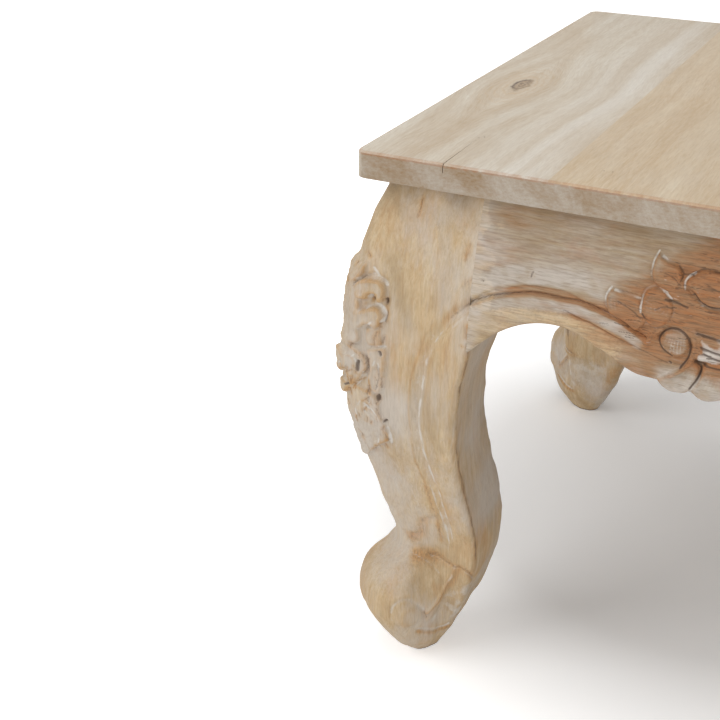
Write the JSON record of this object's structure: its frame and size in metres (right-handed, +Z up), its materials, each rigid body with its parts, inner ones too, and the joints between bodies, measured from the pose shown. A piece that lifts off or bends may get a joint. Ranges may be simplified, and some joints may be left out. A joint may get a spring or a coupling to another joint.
{
  "type": "coffee table",
  "caption": "Square low wooden table with a planked top, bulging carved aprons with arched lower edges, and cabriole legs with leaf-carved knees and scroll toes.",
  "frame": {"origin": "on the floor under the middle of the table", "axes": "+Z up, +X to the right along the front apron, -Y out of the front; the boards of the top run along Y"},
  "size_m": [0.5758, 0.5758, 0.45],
  "materials": {
    "top_wood": "planed, whitewashed and matt",
    "carved_wood": "hand carved, sanded and whitewashed",
    "frame_wood": "sawn and unfinished",
    "peg_wood": "turned and unfinished",
    "screw_steel": "zinc plated"
  },
  "bodies": {
    "root": {"top_board_1": "top_wood", "top_board_2": "top_wood", "top_board_3": "top_wood", "top_board_4": "top_wood", "leg_front_left": "carved_wood", "leg_front_right": "carved_wood", "leg_back_right": "carved_wood", "leg_back_left": "carved_wood", "apron_front": "carved_wood", "apron_right": "carved_wood", "apron_back": "carved_wood", "apron_left": "carved_wood", "cleat_front": "frame_wood", "cleat_right": "frame_wood", "cleat_back": "frame_wood", "cleat_left": "frame_wood", "top_batten": "frame_wood", "top_dowels": "peg_wood", "tenon_pegs": "peg_wood", "cleat_screws": "screw_steel", "top_screws": "screw_steel"}
  },
  "joints": []
}
